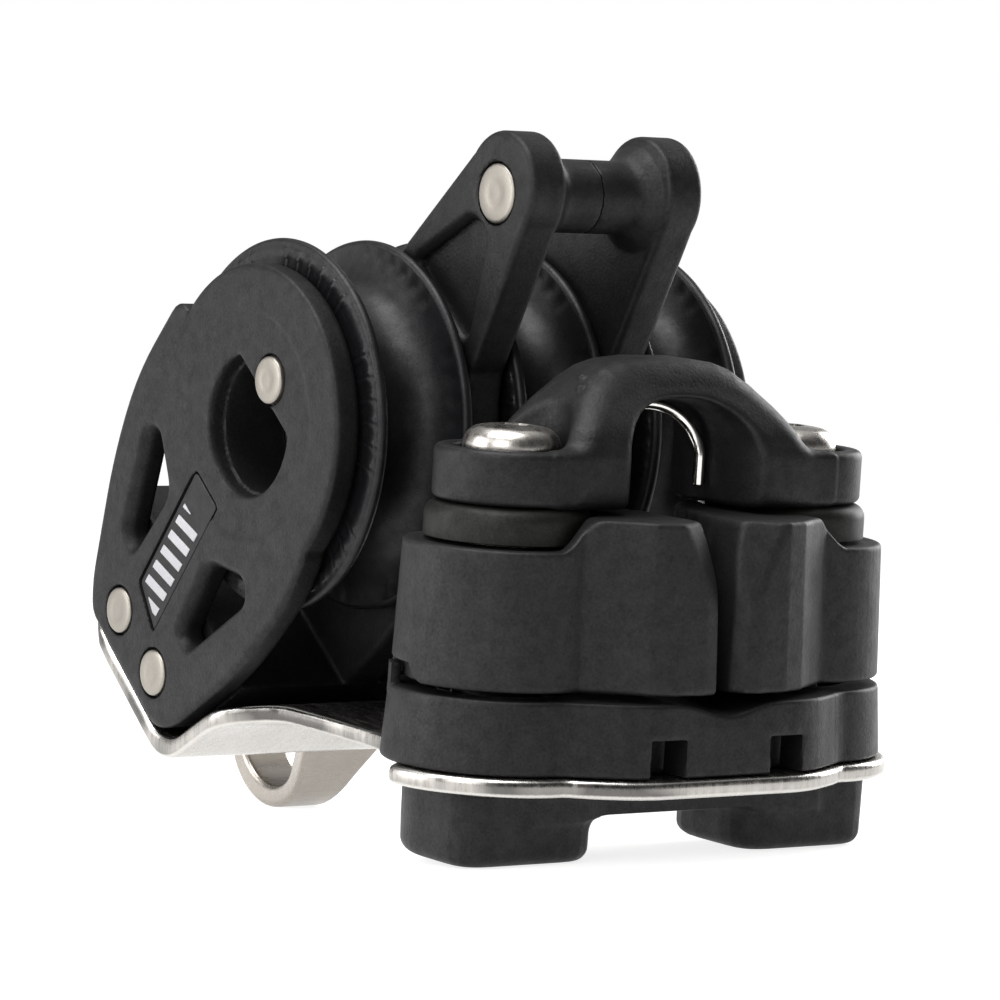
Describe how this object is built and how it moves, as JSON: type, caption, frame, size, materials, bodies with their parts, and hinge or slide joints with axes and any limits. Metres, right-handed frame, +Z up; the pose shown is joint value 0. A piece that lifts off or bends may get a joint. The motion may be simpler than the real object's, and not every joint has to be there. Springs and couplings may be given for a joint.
{
  "type": "triple block with cam cleat",
  "caption": "Rope block with side-by-side sheaves, a becket, a head eye and a sprung cam cleat with fairlead on a bent steel arm.",
  "frame": {"origin": "on the standing surface, under the middle of the part's bounding box", "axes": "+X along the sheave axis, +Y from the cleat back to the block, +Z up from the surface that the feet and the head eye stand on"},
  "size_m": [0.0642, 0.096, 0.0791],
  "materials": {
    "body_nylon": "moulded glass-filled nylon, satin black",
    "sheave_nylon": "smooth satin black",
    "cam_nylon": "moulded satin black with worn edges",
    "cap_nylon": "dark olive gloss",
    "satin_steel": "tumbled satin stainless",
    "polished_steel": "polished stainless",
    "bush_acetal": "natural acetal",
    "label_plate": "plain black plate with pale bars in place of print"
  },
  "bodies": {
    "frame": {"right_cheek": "body_nylon", "left_cheek": "body_nylon", "right_label": "label_plate", "left_label": "label_plate", "right_inner_plate": "body_nylon", "left_inner_plate": "body_nylon", "hub_rivet": "polished_steel", "head_rivet_rear": "polished_steel", "head_rivet_front": "polished_steel", "becket_rivet": "polished_steel", "head_eye": "satin_steel", "cleat_arm": "satin_steel", "foot_block": "body_nylon", "cleat_base": "body_nylon", "fairlead": "body_nylon", "fairlead_wire": "polished_steel", "cam_spring_left": "polished_steel", "cam_bush_left": "bush_acetal", "cam_cap_left": "cap_nylon", "cleat_screw_left": "polished_steel", "cleat_nut_left": "polished_steel", "cam_spring_right": "polished_steel", "cam_bush_right": "bush_acetal", "cam_cap_right": "cap_nylon", "cleat_screw_right": "polished_steel", "cleat_nut_right": "polished_steel"},
    "sheave_left": {"sheave_left": "sheave_nylon"},
    "sheave_middle": {"sheave_middle": "sheave_nylon"},
    "sheave_right": {"sheave_right": "sheave_nylon"},
    "cam_left": {"cam_left": "cam_nylon"},
    "cam_right": {"cam_right": "cam_nylon"}
  },
  "joints": [
    {"name": "sheave_left_spin", "type": "hinge", "parent": "frame", "child": "sheave_left", "pos_m": [-0.01885, 0.00434, 0.04659], "axis": [1, 0, 0], "continuous": true},
    {"name": "sheave_middle_spin", "type": "hinge", "parent": "frame", "child": "sheave_middle", "pos_m": [0, 0.00434, 0.04659], "axis": [1, 0, 0], "continuous": true},
    {"name": "sheave_right_spin", "type": "hinge", "parent": "frame", "child": "sheave_right", "pos_m": [0.01885, 0.00434, 0.04659], "axis": [1, 0, 0], "continuous": true},
    {"name": "cam_left_swing", "type": "hinge", "parent": "frame", "child": "cam_left", "pos_m": [-0.019, -0.03085, 0.02578], "axis": [0, -0.0889, 0.996], "range_deg": [-22, 0], "stiffness_Nm_per_rad": 0.04, "springref_deg": 14.32},
    {"name": "cam_right_swing", "type": "hinge", "parent": "frame", "child": "cam_right", "pos_m": [0.019, -0.03085, 0.02578], "axis": [0, -0.0889, 0.996], "range_deg": [0, 22], "stiffness_Nm_per_rad": 0.04, "springref_deg": -14.32}
  ]
}
